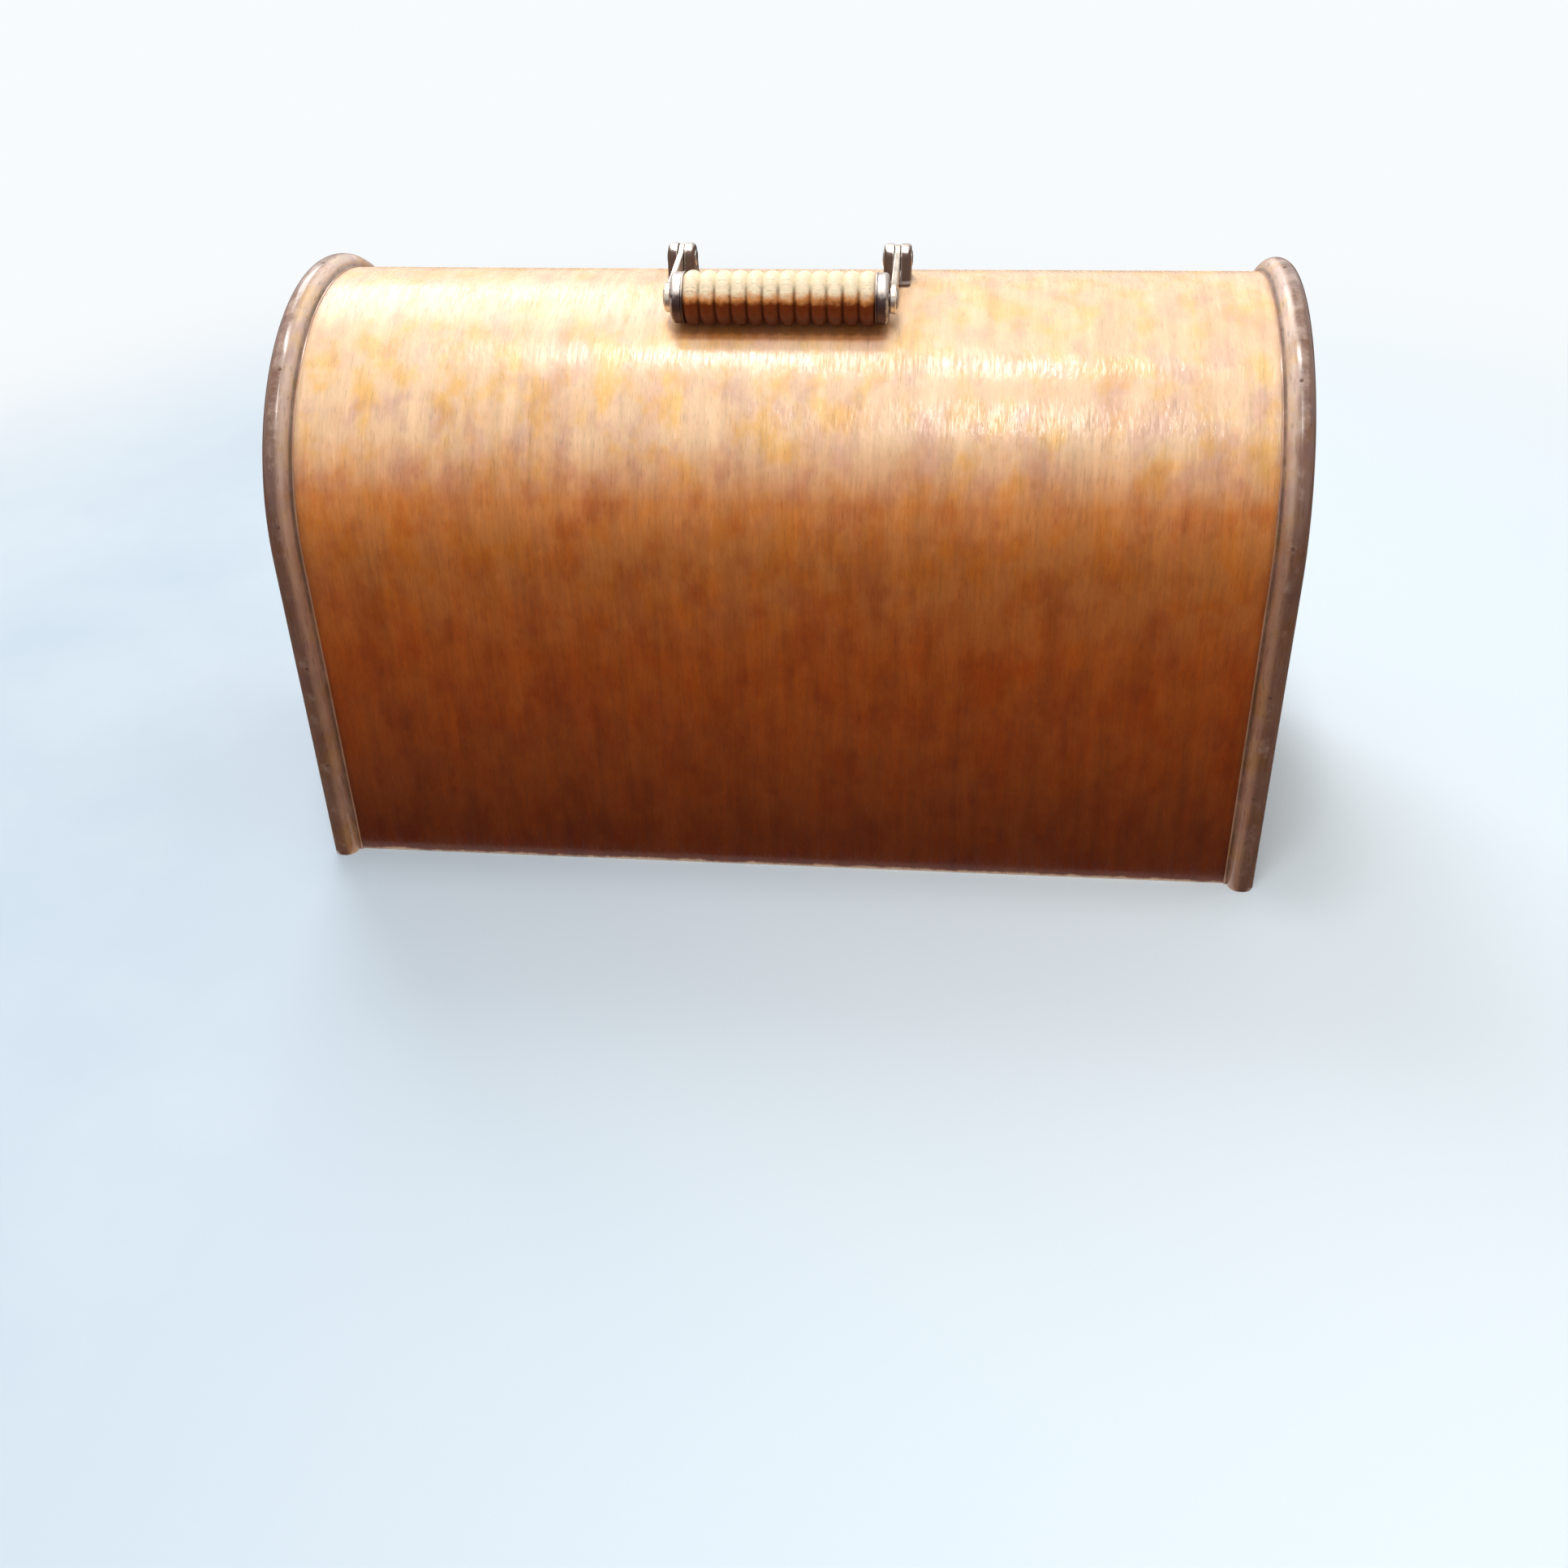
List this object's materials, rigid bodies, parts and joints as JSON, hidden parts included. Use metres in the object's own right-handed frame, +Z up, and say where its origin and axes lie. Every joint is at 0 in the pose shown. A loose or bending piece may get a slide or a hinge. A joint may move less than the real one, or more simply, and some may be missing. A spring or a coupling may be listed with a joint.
{
  "type": "sewing machine cover",
  "caption": "Domed bentwood cover, open underneath, with beaded ends, a fold-down carrying handle on the crown, a swinging hook lock in one end and a slotted catch in the other.",
  "frame": {"origin": "on the ground at the middle of the open rim", "axes": "+X along the cover towards the end with the lock, +Y to the back (the handle is folded down to the front, -Y), +Z up"},
  "size_m": [0.43, 0.204, 0.26],
  "materials": {
    "shell_veneer": "gloss varnish",
    "bead_wood": "gloss varnish",
    "end_wood": "gloss varnish",
    "inside_wood": "bare",
    "grip_wood": "gloss varnish",
    "handle_steel": "worn plating",
    "bracket_iron": "worn black paint",
    "cap_steel": "dulled plating",
    "lock_steel": "satin",
    "brass": "aged"
  },
  "bodies": {
    "cover": {"bentwood_shell": "shell_veneer", "left_end_panel": "end_wood", "right_end_panel": "end_wood", "left_end_bead": "bead_wood", "right_end_bead": "bead_wood", "left_bead_pins": "lock_steel", "right_bead_pins": "lock_steel", "front_bottom_rail": "inside_wood", "back_bottom_rail": "inside_wood", "left_glue_blocks": "inside_wood", "right_glue_blocks": "inside_wood", "handle_batten": "inside_wood", "left_handle_bracket": "bracket_iron", "right_handle_bracket": "bracket_iron", "left_bracket_pin": "lock_steel", "right_bracket_pin": "lock_steel", "bracket_washers": "lock_steel", "bracket_nuts": "lock_steel", "lock_plate": "lock_steel", "lock_case": "lock_steel", "lock_pivot": "lock_steel", "lock_key_post": "lock_steel", "lock_spring": "lock_steel", "lock_screws": "lock_steel", "keyhole_plate": "brass", "keyhole_pins": "brass", "catch_plate": "lock_steel", "catch_screws": "lock_steel"},
    "handle": {"left_handle_link": "handle_steel", "right_handle_link": "handle_steel", "grip_rod": "lock_steel"},
    "grip": {"handle_grip": "grip_wood", "left_grip_cap": "cap_steel", "right_grip_cap": "cap_steel"},
    "hook": {"lock_hook": "lock_steel"}
  },
  "joints": [
    {"name": "handle_swing", "type": "hinge", "parent": "cover", "child": "handle", "pos_m": [0, 0, 0.254], "axis": [-1, 0, 0], "range_deg": [0, 195]},
    {"name": "grip_turn", "type": "hinge", "parent": "handle", "child": "grip", "pos_m": [0, -0.03967, 0.24891], "axis": [1, 0, 0], "continuous": true},
    {"name": "hook_swing", "type": "hinge", "parent": "cover", "child": "hook", "pos_m": [0.2022, -0.0147, 0.0106], "axis": [-1, 0, 0], "range_deg": [0, 60]}
  ]
}
